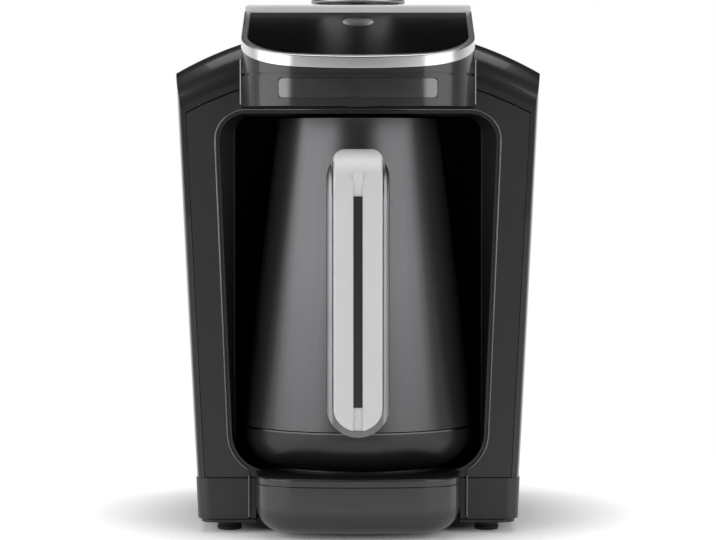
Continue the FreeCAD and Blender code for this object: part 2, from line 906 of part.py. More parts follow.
def make_probe_spring():
    """Coil between the guide's flange and the probe's head, with closed flat ends."""
    low, high = V.probe_z - V.guide_drop, V.probe_z + V.hot_thick - V.probe_head
    mean = V.probe_stem + V.spring_reach
    wire = V.spring_wire
    rise = high - low - wire - 2 * V.spring_play
    helix = Part.makeHelix(rise / V.spring_turns, rise, mean)
    section = Part.Wire(Part.makeCircle(wire / 2, Vector(mean, 0, 0), Vector(0, 1, 0)))
    coil = Part.Wire(helix.Edges).makePipeShell([section], True, True)
    coil.translate(Vector(0, V.pot_y, low + wire / 2 + V.spring_play))
    formed(coil, "probe_spring")


def make_plate_controls():
    """Thermostat and thermal fuse, both against the underside of the plate."""
    under = "probe_z - thermostat_height"
    body = rod("thermostat_radius", "thermostat_height", "control_across", "pot_y", under)
    lower = under + " - thermostat_button"
    cap = rod("thermostat_cap", "thermostat_button", "control_across", "pot_y", lower)
    keep(joined(body, cap), "thermostat")
    level = "probe_z - fuse_radius"
    bulk = rod("fuse_radius", "fuse_length", "-control_across", "pot_y - fuse_length / 2", level, lying=True)
    wires = rod("fuse_wire", "fuse_span", "-control_across", "pot_y - fuse_span / 2", level, lying=True)
    keep(joined(bulk, wires), "thermal_fuse")


# Head


def badge_box(grow):
    low = V.head_z + V.badge_rise - grow
    half = V.badge_width / 2 + grow
    box = box_between((-half, V.front_y - 3, low), (half, V.front_y + 12, low + V.badge_height + 2 * grow))
    upright = [edge for edge in box.Edges if edge.BoundBox.YLength > 10]
    return box.makeFillet(V.badge_corner, upright)


def make_head_shell():
    wall = V.head_wall
    slope_drop = V.ring_height
    outer = head_prism(0, V.head_z, V.lip_z + 60).common(under_slope(slope_drop))
    inner = head_prism(wall, V.head_z + wall, V.lip_z + 61)
    window = Part.makeCylinder(V.sensor_radius + V.sensor_play, 30, Vector(0, V.sensor_y, V.head_z - 5))
    half = V.passage_width / 2
    passage = box_between((-half, V.pot_y - V.passage_lead, V.head_z - 5),
                          (half, V.head_back_y - V.passage_lead, V.head_z + wall + 1))
    shell = outer.cut(inner).cut(window).cut(passage)
    recess = badge_box(V.badge_play).cut(head_prism(V.badge_thick, 0, V.lip_z + 60))
    groove_z = V.head_z + V.shadow_rise
    shadow = head_prism(-5, groove_z, groove_z + V.shadow_height, V.plate_y)
    shadow = shadow.cut(head_prism(V.shadow_depth, V.head_z, V.lip_z, V.head_back_y))
    shell = shell.cut(recess).cut(shadow)
    for across in (-V.post_across, V.post_across):
        for along in (V.front_y + V.post_front, V.front_y + V.post_back):
            post = Part.makeCylinder(V.post_radius, 60, Vector(across, along, V.head_z + 1))
            shell = shell.fuse(post.common(tilted_slab(V.board_drop, 80, V.front_y, V.panel_back_y)))
    formed(shell, "head_shell")


def make_badge():
    plate = badge_box(0).common(head_prism(-V.badge_proud, 0, V.lip_z + 60))
    formed(plate.cut(head_prism(V.badge_thick - 0.05, 0, V.lip_z + 61)), "badge_plate")


def make_trims():
    """Bright upright strips where the head meets the casing."""
    for name, side in (("left", -1), ("right", 1)):
        outer = side * (V.head_width / 2 + V.trim_width)
        inner = side * (V.head_width / 2 + V.trim_gap)
        foot = V.head_z + V.trim_rise
        strip = box_between((min(outer, inner), V.plate_y - V.trim_depth, foot),
                            (max(outer, inner), V.plate_y - V.trim_gap, foot + V.trim_length))
        formed(strip, "head_trim_" + name)


def make_ring():
    slab = tilted_slab(0, V.ring_height - V.ring_seat, V.front_y - 5, V.panel_back_y)
    outer = head_prism(-V.ring_lap, 0, V.lip_z + 60).common(slab)
    inner = head_prism(V.ring_width, 0, V.lip_z + 61)
    ring = outer.cut(inner)
    crest = [edge for edge in ring.Edges if is_crest(edge)]
    formed(ring.makeFillet(V.ring_edge, crest), "panel_ring")


def is_crest(edge):
    """Edge of the ring's sloped top along its outer side."""
    slope = math.tan(math.radians(V.panel_slope))
    on_top = all(abs(V.ring_z + (spot.Point.y - V.front_y) * slope - spot.Point.z) < 0.01
                 for spot in edge.Vertexes)
    outer_half = V.head_width / 2 + V.ring_lap
    outer_bow = any(abs(abs(spot.Point.x) - outer_half) < 0.01 for spot in edge.Vertexes)
    if not on_top:
        return False
    length = edge.Length
    middle = edge.valueAt(edge.getParameterByLength(length / 2))
    fits = abs(middle.x) < 0.01 and middle.y < V.front_y
    return (outer_bow or fits) and middle.y < V.panel_back_y - 0.5


def make_panel():
    slab = tilted_slab(V.panel_sink, V.panel_thick, V.front_y - 5, V.panel_back_y - V.panel_gap)
    panel = head_prism(V.ring_width + V.panel_gap, 0, V.lip_z + 60).common(slab)
    formed(panel.cut(key_rod(V.key_radius + V.key_gap, 10, 5)), "control_panel")


def key_rod(radius, down, up):
    """Rod square to the panel at the touch key."""
    tilt = math.radians(V.panel_slope)
    normal = Vector(0, -math.sin(tilt), math.cos(tilt))
    along = V.panel_back_y - V.key_back
    level = V.ring_z + (along - V.front_y) * math.tan(tilt)
    foot = Vector(0, along, level) - normal * (V.panel_sink + down)
    return Part.makeCylinder(radius, down + up, foot, normal)


def make_key_lens():
    formed(key_rod(V.key_radius, V.panel_thick, 0.0), "key_lens")


def make_rear_deck():
    """Light deck behind the panel, raised to a lip, with the seat of the knob."""
    low = V.panel_back_z - V.ring_height + V.ring_seat
    start = V.panel_back_y + V.deck_gap
    deck = head_prism(0, low, V.lip_z).common(
        box_between((-V.head_width, start, 0), (V.head_width, V.head_back_y + 5, V.lip_z + 5)))
    top = [edge for edge in deck.Edges if edge.BoundBox.ZMin > V.lip_z - 0.01]
    deck = deck.makeFillet(V.deck_round, top)
    hollow = head_prism(V.deck_wall, 0, V.lip_z - V.deck_skin).common(
        box_between((-V.head_width, start + V.deck_wall, 0),
                    (V.head_width, V.head_back_y - V.deck_rear_wall, V.lip_z)))
    bore = Part.makeCylinder(V.shaft_radius + V.shaft_clear, 20, Vector(0, V.knob_y, V.lip_z - 10))
    formed(deck.cut(hollow).cut(bore), "rear_deck")


def make_knob():
    """Chromed knob with a shallow dish, over a dark collar."""
    inside = "knob_radius - knob_skirt"
    points = [("shaft_radius", "knob_cavity"), (inside, "knob_cavity"), (inside, "0"),
              ("knob_radius", "0"), ("knob_radius", "knob_height"),
              ("knob_radius - knob_rim", "knob_height"),
              ("knob_radius - dish_reach", "knob_height - dish_depth"), ("0", "knob_height - dish_middle"),
              ("0", "shaft_top"), ("shaft_radius", "shaft_top")]
    turned("selector_knob", points, along="knob_y", up="knob_z",
           rounds=[(("knob_radius", "knob_height"), "knob_edge")])
    bore, edge = "shaft_radius + collar_bore", "knob_radius - collar_inset"
    collar = [(bore, "0"), (edge, "0"), (edge, "collar_thick"), (bore, "collar_thick")]
    turned("knob_collar", collar, along="knob_y", up="lip_z")
    shaft = [("0", "-shaft_drop"), ("shaft_radius", "-shaft_drop"),
             ("shaft_radius", "shaft_top"), ("0", "shaft_top")]
    turned("knob_shaft", shaft, along="knob_y", up="knob_z")


def make_encoder():
    """Rotary switch under the deck: housing, and the plunger that the shaft turns in."""
    top = "lip_z - deck_skin"
    foot = top + " - encoder_height"
    floor = foot + " + encoder_floor"
    housing = less(block("encoder_size", "encoder_size", "encoder_height", "0", "knob_y", foot),
                   rod("encoder_bore", "encoder_height", "0", "knob_y", floor))
    keep(housing, "encoder_housing")
    plunger = less(rod("plunger_radius", "plunger_height", "0", "knob_y", top + " - plunger_drop"),
                   rod("shaft_radius + shaft_play", "encoder_height", "0", "knob_y", floor))
    keep(plunger, "encoder_plunger")


def make_head_internals():
    tilt = FreeCAD.Rotation(Vector(1, 0, 0), V.panel_slope)
    corner = Vector(-V.board_width / 2, 0, 0)
    board = Part.makeBox(V.board_width, V.board_depth, V.board_thick, corner)
    chips = [(-20, 12, 12, 12, 2.2), (8, 10, 8, 6, 1.6), (20, 26, 5, 5, 3.2), (-32, 30, 6, 4, 2.4)]
    for left, near, wide, deep, tall in chips:
        board = board.fuse(Part.makeBox(wide, deep, tall, Vector(left, near, V.board_thick)))
    drop = V.board_drop - V.board_front * math.tan(math.radians(V.panel_slope))
    spot = Vector(0, V.front_y + V.board_front, V.ring_z - drop)
    board.Placement = FreeCAD.Placement(spot, tilt)
    formed(board, "control_board")
    floor = "head_z + head_wall"
    keep(rod("sounder_radius", "sounder_height", "22", "sensor_y + 4", floor), "sounder")
    keep(joined(rod("sensor_radius", "head_wall", "0", "sensor_y", "head_z + sensor_play"),
                rod("sensor_radius + flange_lap", "lens_flange", "0", "sensor_y", floor)), "sensor_lens")
    keep(block("18", "14", "board_thick", "0", "sensor_y", floor + " + lens_flange"), "sensor_board")


# Power parts behind the niche


def make_power_parts():
    board = block("power_width", "board_thick", "power_height", "0", "board_y", "seam_z + power_rise")
    keep(board, "power_board")
    back = "board_y - (board_thick + frame_thick) / 2"
    foot = "base_z - cover_gap"
    rise = "seam_z + frame_rise - base_z + cover_gap"
    frame = less(block("frame_width", "frame_thick", rise, "0", back, foot),
                 block("frame_width - 2 * frame_bar", "frame_thick + 5", rise + " - frame_bar", "0", back,
                       "base_z - 1"))
    keep(frame, "board_frame")
    parts = (("transformer", "28", "22", "24", "-26", "seam_z + 44"),
             ("relay", "19", "15", "16", "20", "seam_z + 44"),
             ("heat_sink", "24", "12", "30", "22", "seam_z + 72"))
    for name, wide, deep, tall, across, up in parts:
        keep(block(wide, deep, tall, across, "board_y + (board_thick + %s) / 2" % deep, up), name)
    keep(rod("6.5", "18", "-26", "board_y + board_thick / 2", "seam_z + 86", lying=True), "capacitor")
    keep(block("terminal_width", "terminal_depth", "terminal_height", "0", "rear_y - terminal_back", foot),
         "terminal_block")


def make_gland():
    """Bush in the rear cover where the mains lead enters."""
    flange_y = "rear_y - plate_thick - seam_gap - flange_thick"
    outer = joined(rod("gland_radius", "gland_length", "0", "rear_y - gland_length", "gland_z", lying=True),
                   rod("gland_flange", "flange_thick", "0", flange_y, "gland_z", lying=True))
    bore = rod("gland_bore", "gland_length + 3", "0", "rear_y - gland_length - 1", "gland_z", lying=True)
    keep(less(outer, bore), "cord_gland")


def lead(points, radius):
    """Insulated lead: straight runs joined by tangent arcs."""
    corners = [Vector(*point) for point in points]
    edges = []
    start = corners[0]
    for index in range(1, len(corners) - 1):
        before, corner, after = corners[index - 1], corners[index], corners[index + 1]
        shorter = min((corner - before).Length, (after - corner).Length)
        bend = 0.45 * shorter
        back = corner + (before - corner).normalize() * bend
        ahead = corner + (after - corner).normalize() * bend
        to_back, to_ahead = (back - corner).normalize(), (ahead - corner).normalize()
        half = to_back.getAngle(to_ahead) / 2
        arc = bend * math.tan(half)
        middle = corner + (to_back + to_ahead).normalize() * (arc / math.sin(half) - arc)
        edges.append(Part.LineSegment(start, back).toShape())
        edges.append(Part.Arc(back, middle, ahead).toShape())
        start = ahead
    edges.append(Part.LineSegment(start, corners[-1]).toShape())
    heading = (corners[1] - corners[0]).normalize()
    section = Part.Wire(Part.makeCircle(radius, corners[0], heading))
    return Part.Wire(edges).makePipeShell([section], True, False)


def make_leads():
    """Leads from the terminal block to the two ends of the element."""
    low = V.base_z + V.lead_rise
    back = V.rear_y - V.terminal_back - V.terminal_depth / 2
    end = V.element_radius * math.cos(math.radians(V.element_turn - 40))
    near = V.pot_y + math.sqrt((V.element_radius + V.element_tube) ** 2 - end ** 2) + 0.1
    level = V.hot_z - V.hot_thick - V.element_tube
    for name, side in (("left", -1), ("right", 1)):
        start = side * V.lead_across
        points = [(start, back, low), (start, back - V.lead_run, low),
                  (side * end, near + V.lead_run, level), (side * end, near, level)]
        formed(lead(points, V.lead_radius), "element_lead_" + name)


# Pot and handle


def make_pot():
    """Conical vessel on a rounded base shell, with a bright seam ring between them."""
    slope_in = "pot_wall * 1.01"
    body = [("0", "0.6"), ("pot_radius - 1.2", "0.6"), ("pot_radius - 0.2", "1"),
            ("rim_radius", "cone_rise"), ("rim_radius - %s" % slope_in, "cone_rise"),
            ("pot_radius - 0.2 - %s" % slope_in, "3"), ("0", "3")]
    turned("pot_body", body, along="pot_y", up="pot_seam_z")
    bowl = [("0", "0"), ("pot_radius", "0"), ("pot_radius", "bowl_rise"),
            ("pot_radius - bowl_wall", "bowl_rise"),
            ("pot_radius - bowl_wall", "bowl_wall"), ("0", "bowl_wall")]
    turned("pot_base", bowl, along="pot_y", up="pot_z",
           rounds=[(("pot_radius", "0"), "bowl_round"),
                   (("pot_radius - bowl_wall", "bowl_wall"), "bowl_round - bowl_wall")])
    ring = [("pot_radius - 2", "0"), ("pot_radius + 0.15", "0"),
            ("pot_radius + 0.15", "0.6"), ("pot_radius - 2", "0.6")]
    turned("pot_seam_ring", ring, along="pot_y", up="pot_seam_z")


def cone_radius(height):
    """Outer radius of the pot at a height above its seam."""
    return V.pot_radius - 0.2 - (V.pot_radius - 0.2 - V.rim_radius) * (height - 1) / (V.cone_rise - 1)


def handle_bar(width, thick, inset, root):
    """Bar of rounded section: out from the pot's wall, over a bend and straight down."""
    front = V.pot_y - V.handle_reach + inset + thick / 2
    high = V.rim_z - V.handle_sink - inset - thick / 2
    bend = V.handle_bend - inset - thick / 2
    bottom = V.rim_z - V.handle_sink - V.handle_drop - 2
    share = 1 - math.sqrt(0.5)
    spine = Part.Wire([
        Part.LineSegment(Vector(0, root, high), Vector(0, front + bend, high)).toShape(),
        Part.Arc(Vector(0, front + bend, high), Vector(0, front + bend * share, high - bend * share),
                 Vector(0, front, high - bend)).toShape(),
        Part.LineSegment(Vector(0, front, high - bend), Vector(0, front, bottom)).toShape()])
    half, reach = width / 2, thick / 2
    corners = [(-half, root, high - reach), (half, root, high - reach),
               (half, root, high + reach), (-half, root, high + reach)]
    section = rounded_wire(corners, [min(V.grip_round, reach * 0.8)] * 4)
    return spine.makePipeShell([section], True, False)


def tongue(width, bottom, top, corner):
    """Front-view outline with round upper corners and a nearly half-round lower end."""
    half = width / 2
    end = half - 0.05
    front = V.pot_y - V.handle_reach - 20
    corners = [(-half, front, bottom), (half, front, bottom), (half, front, top), (-half, front, top)]
    wire = rounded_wire(corners, [end, end, corner, corner])
    return Part.Face(wire).extrude(Vector(0, 120, 0))


def pot_cone(grow):
    return Part.makeCone(V.pot_radius - 0.2 + grow, V.rim_radius + grow, V.cone_rise - 1,
                         Vector(0, V.pot_y, V.pot_seam_z + 1))


def make_handle():
    """Dark core with a silver inlay on its face, and a dark strip in the inlay's groove."""
    top = V.rim_z - V.handle_sink
    bottom = top - V.handle_drop
    border = (V.handle_width - V.inlay_width) / 2
    root = V.pot_y - V.rim_radius
    saddle = box_between((-V.handle_width / 2 - 2, root - 30, top - 22),
                         (V.handle_width / 2 + 2, root + 8, top + 2))
    formed(pot_cone(V.bracket_thick).cut(pot_cone(0)).common(saddle), "handle_bracket")
    core = handle_bar(V.handle_width, V.handle_thick, 0, root)
    core = core.common(tongue(V.handle_width, bottom, top, V.core_corner))
    core = core.cut(pot_cone(V.bracket_thick))
    bed_tongue = tongue(V.inlay_width + 0.2, bottom + border - 0.1, top + 5, V.inlay_corner)
    bed = handle_bar(V.inlay_width + 0.2, V.inlay_thick * 2, -V.inlay_thick, root - 9)
    inlay = handle_bar(V.inlay_width, V.inlay_thick, 0.0, root - 9.2)
    inlay = inlay.common(tongue(V.inlay_width, bottom + border, top, V.inlay_corner))
    formed(core.cut(bed.common(bed_tongue)).cut(inlay), "handle_core")
    front = V.pot_y - V.handle_reach
    middle = bottom + V.handle_drop / 2 - V.strip_drop
    low, high = middle - V.strip_length / 2, middle + V.strip_length / 2
    half = V.strip_width / 2
    groove = box_between((-half, front - 2, bottom - 2), (half, front + 0.9, top - V.handle_bend / 2))
    inlay = inlay.cut(groove)
    formed(inlay, "handle_inlay")
    strip = box_between((-half + 0.06, front + 0.25, low), (half - 0.06, front + 0.9, high))
    formed(strip, "handle_strip")


# All pieces


def check(pieces):
    """Stop if any object failed or any piece is missing, broken or not solid."""
    DOC.recompute()
    for item in DOC.Objects:
        if "Invalid" in item.State or "Error" in item.State:
            raise RuntimeError("failed object: %s" % item.Label)
    for item in pieces:
        shape = item.Shape
        if shape.isNull() or not shape.isValid() or shape.Volume <= 0:
            raise RuntimeError("bad shape: %s" % item.Label)
        print("%-22s solids %d volume %.1f" % (item.Label, len(shape.Solids), shape.Volume))


def write(pieces):
    os.makedirs("parts", exist_ok=True)
    for item in pieces:
        item.Shape.exportStep("parts/%s.step" % item.Label)


def main():
    make_casing_shell()
    make_front_plate()
    make_niche_liner()
    make_rear_cover()
    make_rear_screws()
    make_base()
    make_bottom_cover()
    make_feet()
    make_pedestal()
    make_platform()
    make_hot_plate()
    make_plate_seal()
    make_element()
    make_heat_shield()
    make_burner_can()
    make_probe()
    make_probe_spring()
    make_plate_controls()
    make_head_shell()
    make_badge()
    make_trims()
    make_ring()
    make_panel()
    make_key_lens()
    make_rear_deck()
    make_knob()
    make_encoder()
    make_head_internals()
    make_power_parts()
    make_gland()
    make_leads()
    make_pot()
    make_handle()
    check(PIECES)
    write(PIECES)


main()
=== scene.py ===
import json
import math

import bmesh
import bpy
from mathutils import Matrix, Vector


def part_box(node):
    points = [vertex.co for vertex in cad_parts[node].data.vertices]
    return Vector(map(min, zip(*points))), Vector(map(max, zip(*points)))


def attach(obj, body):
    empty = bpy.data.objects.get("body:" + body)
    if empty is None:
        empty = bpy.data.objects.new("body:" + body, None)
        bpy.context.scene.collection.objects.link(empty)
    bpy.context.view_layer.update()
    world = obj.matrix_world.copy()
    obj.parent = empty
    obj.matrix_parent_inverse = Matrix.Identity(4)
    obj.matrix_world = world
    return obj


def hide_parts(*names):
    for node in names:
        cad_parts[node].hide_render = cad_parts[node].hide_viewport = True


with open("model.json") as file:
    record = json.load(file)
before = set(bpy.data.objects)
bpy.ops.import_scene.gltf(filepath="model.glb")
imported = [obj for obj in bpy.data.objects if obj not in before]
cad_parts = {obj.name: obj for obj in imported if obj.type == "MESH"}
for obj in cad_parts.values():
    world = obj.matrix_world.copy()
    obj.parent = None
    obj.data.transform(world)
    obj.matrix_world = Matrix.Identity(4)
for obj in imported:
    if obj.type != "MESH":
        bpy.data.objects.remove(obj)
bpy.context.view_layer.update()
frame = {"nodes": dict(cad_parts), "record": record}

# Electric turkish coffee maker, in metres, front towards -Y, standing on Z = 0.

MM = 0.001
RECORD = frame["record"]
BODY_OF = {node: body for body, nodes in RECORD["behaviour"]["bodies"].items() for node in nodes}
SLOT_OF = {row["node"]: row["material_slot"] for row in RECORD["subparts"]}

# Places read from the frame


def box_middle(node):
    low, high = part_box(node)
    return (low + high) / 2


POT_AXIS_Y = box_middle("pot_body").y
PLATE_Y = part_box("front_plate")[0].y

# Camera, placed as the photograph was taken

PICTURE_WIDTH = 716
SCALE_AT_PLATE = 0.42 * MM
CAMERA_REACH = 1.2
CAMERA_HEIGHT = 0.160
CENTRE_HEIGHT = 0.111
SENSOR_WIDTH = 36.0
NEAR_CLIP = 0.05
FAR_CLIP = 20.0


def make_camera():
    data = bpy.data.cameras.new("camera")
    data.sensor_width = SENSOR_WIDTH
    data.lens = CAMERA_REACH / SCALE_AT_PLATE * SENSOR_WIDTH / PICTURE_WIDTH
    data.clip_start, data.clip_end = NEAR_CLIP, FAR_CLIP
    camera = bpy.data.objects.new("camera", data)
    bpy.context.scene.collection.objects.link(camera)
    camera.location = (0, PLATE_Y - CAMERA_REACH, CAMERA_HEIGHT)
    pitch = math.atan((CAMERA_HEIGHT - CENTRE_HEIGHT) / CAMERA_REACH)
    camera.rotation_euler = (math.pi / 2 - pitch, 0, 0)
    bpy.context.scene.camera = camera


# Shader building: sockets with arithmetic, and one method for any node


class Value:
    """A shader socket that adds Math nodes when it is used in an expression."""

    def __init__(self, shader, socket):
        self.shader = shader
        self.socket = socket

    def _math(self, operation, *values):
        return self.shader.node("ShaderNodeMath", {"operation": operation}, dict(enumerate(values)))

    def __add__(self, other):
        return self._math("ADD", self, other)

    def __mul__(self, other):
        return self._math("MULTIPLY", self, other)

    def __sub__(self, other):
        return self._math("SUBTRACT", self, other)

    def __rsub__(self, other):
        return self._math("SUBTRACT", other, self)

    __radd__ = __add__
    __rmul__ = __mul__

    def power(self, other):
        return self._math("POWER", self, other)

    def atan2(self, other):
        return self._math("ARCTAN2", self, other)

    def clamped(self, low=0.0, high=1.0):
        return self._math("MINIMUM", self._math("MAXIMUM", self, low), high)


class Nodes:
    """The nodes of one tree, added one at a time."""

    def __init__(self, tree):
        self.tree = tree

    def node(self, kind, settings=None, inputs=None, out=0):
        item = self.tree.nodes.new(kind)
        for name, value in (settings or {}).items():
            if name == "stops":
                self.set_stops(item, value)
            else:
                setattr(item, name, value)
        for name, value in (inputs or {}).items():
            self.feed(item.inputs[name], value)
        return Value(self, item.outputs[out])

    def set_stops(self, item, stops):
        ramp = item.color_ramp
        while len(ramp.elements) < len(stops):
            ramp.elements.new(0.5)
        for element, (position, level) in zip(ramp.elements, stops):
            element.position = position
            element.color = (level, level, level, 1)

    def feed(self, socket, value):
        if isinstance(value, Value):
            self.tree.links.new(value.socket, socket)
        elif isinstance(value, (tuple, list)) and len(value) == 3 and socket.type == "RGBA":
            socket.default_value = (*value, 1)
        else:
            socket.default_value = value

    def split(self, vector):
        item = self.tree.nodes.new("ShaderNodeSeparateXYZ")
        self.tree.links.new(vector.socket, item.inputs[0])
        return [Value(self, socket) for socket in item.outputs]

    def join(self, x, y, z):
        return self.node("ShaderNodeCombineXYZ", {}, {0: x, 1: y, 2: z})


class Shader(Nodes):
    """The nodes of one material, or of the world."""

    def __init__(self, owner, output="ShaderNodeOutputMaterial"):
        self.owner = bpy.data.materials.new(owner) if isinstance(owner, str) else owner
        self.owner.use_nodes = True
        super().__init__(self.owner.node_tree)
        self.tree.nodes.clear()
        self.output = self.tree.nodes.new(output)

    def place(self):
        return self.node("ShaderNodeTexCoord", out=3)

    def noise(self, scale, detail=2.0, rough=0.5, vector=None):
        inputs = {"Vector": vector or self.place(), "Scale": scale, "Detail": detail, "Roughness": rough}
        return self.node("ShaderNodeTexNoise", {}, inputs)

    def mix(self, factor, first, second):
        item = self.tree.nodes.new("ShaderNodeMix")
        item.data_type = "RGBA"
        self.feed(item.inputs["Factor"], factor)
        self.feed(item.inputs["A"], first)
        self.feed(item.inputs["B"], second)
        return Value(self, item.outputs["Result"])

    def ramp(self, value, *stops):
        return self.node("ShaderNodeValToRGB", {"stops": stops}, {"Fac": value})

    def bump(self, height, strength, distance):
        inputs = {"Height": height, "Strength": strength, "Distance": distance}
        return self.node("ShaderNodeBump", {}, inputs)

    def surface(self, **inputs):
        names = {key.replace("_", " ").title().replace("Ior", "IOR"): value for key, value in inputs.items()}
        return self.finish(self.node("ShaderNodeBsdfPrincipled", {}, names))

    def finish(self, shader):
        self.tree.links.new(shader.socket, self.output.inputs["Surface"])
        return self.owner

    def light_path(self, *names):
        """Sum of the named ray kinds, between 0 and 1."""
        paths = self.tree.nodes.new("ShaderNodeLightPath")
        kinds = [Value(self, paths.outputs["Is %s Ray" % name]) for name in names]
        total = kinds[0]
        for kind in kinds[1:]:
            total = total + kind
        return total.clamped()

    def blend(self, factor, first, second):
        return self.node("ShaderNodeMixShader", {}, {0: factor, 1: first, 2: second})


# Share of the faint flow marks in moulded plastic
MOTTLE = 0.15


def moulded(name, colour, rough, grain):
    """Moulded plastic: fine grain, faint flow marks and handling smears."""
    s = Shader(name)
    fine = s.noise(2600.0, 2.0, 0.6)
    flow = s.noise(28.0, 3.0, 0.55)
    smear = s.ramp(s.noise(95.0, 4.0, 0.6), (0.35, 0.0), (0.75, 1.0))
    lighter = [part * 1.35 + 0.002 for part in colour]
    tint = s.mix(flow * MOTTLE + 0.5 * (1 - MOTTLE), colour, lighter)
    gloss = fine * 0.06 + smear * 0.05 + (rough - 0.05)
    return s.surface(base_color=tint, roughness=gloss.clamped(0.02, 1.0),
                     normal=s.bump(fine, grain, 0.0004))


def polished(name, colour, rough, orange_peel=0.012, coat=0.35, shine=0.5):
    """Gloss plastic with a very slight orange peel and fine wiping marks."""
    s = Shader(name)
    peel = s.noise(150.0, 2.0, 0.5)
    wipe = s.noise(1.0, 3.0, 0.6, s.join(*stretched(s, 700.0, 700.0, 60.0)))
    gloss = peel * 0.02 + wipe * 0.03 + (rough - 0.02)
    tint = s.mix(peel * 0.3, colour, [part * 1.3 + 0.001 for part in colour])
    return s.surface(base_color=tint, roughness=gloss.clamped(0.02, 1.0), coat_weight=coat,
                     coat_roughness=0.03, specular_ior_level=shine, normal=s.bump(peel, orange_peel, 0.002))


def stretched(s, across, along, up):
    x, y, z = s.split(s.place())
    return x * across, y * along, z * up


def plated(name, colour, rough):
    """Plated or satin metal: slight ripple, hairline marks and soft dulling."""
    s = Shader(name)
    ripple = s.noise(60.0, 2.0, 0.5)
    hair = s.noise(1.0, 4.0, 0.7, s.join(*stretched(s, 90.0, 2200.0, 2200.0)))
    dull = s.ramp(s.noise(40.0, 4.0, 0.6), (0.4, 0.0), (0.8, 1.0))
    gloss = hair * 0.05 + dull * 0.05 + rough
    tint = s.mix(dull * 0.35, colour, [part * 0.88 for part in colour])
    return s.surface(base_color=tint, metallic=1.0, roughness=gloss.clamped(0.02, 1.0),
                     normal=s.bump(ripple, 0.006, 0.002))


# Height and share of the painted shade that darkens the pot towards its foot
PAINTED_FOOT_SHADE = ((0.035, 0.45), (0.115, 0.0))


def turned_streaks(name, colour, rough, axis_y, metallic, streak):
    """Metal brushed along its height, with painted shade that darkens it near its foot."""
    s = Shader(name)
    x, y, z = s.split(s.place())
    angle = x.atan2(y - axis_y)
    fine = s.noise(1.0, 3.0, 0.75, s.join(angle * 260.0, z * 14.0, 0.0))
    broad = s.noise(1.0, 2.0, 0.6, s.join(angle * 34.0, z * 5.0, 3.0))
    tone = fine * 0.65 + broad * 0.35
    darker, lighter = [[part * (1 + sign * streak) for part in colour] for sign in (-1, 1)]
    brushed = s.mix(tone, darker, lighter)
    # Painted shade: the colour is darkened towards the pot's foot.
    tint = s.mix(s.ramp(z, *PAINTED_FOOT_SHADE), brushed, [part * 0.25 for part in colour])
    smear = s.noise(22.0, 3.0, 0.5)
    gloss = tone * 0.12 + smear * 0.05 + (rough - 0.08)
    return s.surface(base_color=tint, metallic=metallic, roughness=gloss.clamped(0.05, 1.0),
                     normal=s.bump(fine, 0.05, 0.0003))


def sprayed(name, colour, rough):
    """Silver paint: metal flake under a thin satin lacquer."""
    s = Shader(name)
    flake = s.noise(5200.0, 1.0, 0.5)
    cloud = s.noise(30.0, 3.0, 0.5)
    tint = s.mix(flake * 0.6 + cloud * 0.2, [part * 0.86 for part in colour], colour)
    gloss = flake * 0.10 + cloud * 0.05 + (rough - 0.06)
    return s.surface(base_color=tint, metallic=0.15, roughness=gloss.clamped(0.05, 1.0),
                     coat_weight=0.2, coat_roughness=0.15, normal=s.bump(flake, 0.02, 0.0002))


def cast(name, colour, rough):
    """Bare metal of the inner pieces: mill marks and slight staining."""
    s = Shader(name)
    mill = s.noise(1.0, 3.0, 0.7, s.join(*stretched(s, 60.0, 1800.0, 1800.0)))
    stain = s.ramp(s.noise(70.0, 4.0, 0.6), (0.45, 0.0), (0.7, 1.0))
    tint = s.mix(stain * 0.5 + mill * 0.3, colour, [part * 0.6 for part in colour])
    gloss = mill * 0.15 + stain * 0.1 + (rough - 0.1)
    return s.surface(base_color=tint, metallic=1.0, roughness=gloss.clamped(0.05, 1.0),
                     normal=s.bump(mill, 0.05, 0.0004))


def ringed_plate(name, colour, rough, axis_y):
    """Turned aluminium plate: concentric tool rings and a faint scorch."""
    s = Shader(name)
    x, y, z = s.split(s.place())
    radius = (x * x + (y - axis_y) * (y - axis_y)).power(0.5)
    rings = s.noise(1.0, 2.0, 0.6, s.join(radius * 3200.0, 0.0, 0.0))
    scorch = s.ramp(s.noise(60.0, 4.0, 0.6), (0.35, 0.0), (0.8, 1.0))
    tint = s.mix(scorch * 0.6, colour, [part * 0.45 for part in colour])
    gloss = rings * 0.2 + scorch * 0.1 + (rough - 0.1)
    return s.surface(base_color=tint, metallic=1.0, roughness=gloss.clamped(0.05, 1.0),
                     normal=s.bump(rings, 0.12, 0.0002))


def soft_rubber(name, colour):
    """Dull rubber with fine grain and a little dust."""
    s = Shader(name)
    grain = s.noise(1900.0, 3.0, 0.6)
    dust = s.ramp(s.noise(130.0, 4.0, 0.6), (0.5, 0.0), (0.8, 1.0))
    tint = s.mix(dust * 0.25, colour, (0.10, 0.10, 0.10))
    return s.surface(base_color=tint, roughness=(grain * 0.12 + 0.66).clamped(),
                     normal=s.bump(grain, 0.1, 0.0004))


def printed_board(name):
    """Green circuit board with a faint pattern of tracks."""
    s = Shader(name)
    x, y, z = s.split(s.place())
    tracks = s.node("ShaderNodeTexBrick", {}, {"Vector": s.join(x, z + y, 0.0), "Scale": 160.0,
                                               "Mortar Size": 0.06, "Mortar Smooth": 0.2}, out=1)
    tint = s.mix(tracks, (0.012, 0.09, 0.035), (0.05, 0.20, 0.08))
    return s.surface(base_color=tint, roughness=(tracks * 0.2 + 0.35).clamped(),
                     normal=s.bump(tracks, 0.15, 0.0003))


def smoked(name, colour, rough):
    """Tinted clear plastic, as smooth as glass."""
    s = Shader(name)
    haze = s.noise(400.0, 2.0, 0.5)
    tint = s.mix(haze, colour, [part * 0.8 for part in colour])
    return s.surface(base_color=tint, roughness=(haze * 0.05 + rough).clamped(), coat_weight=0.6,
                     coat_roughness=0.03, normal=s.bump(haze, 0.01, 0.0005))


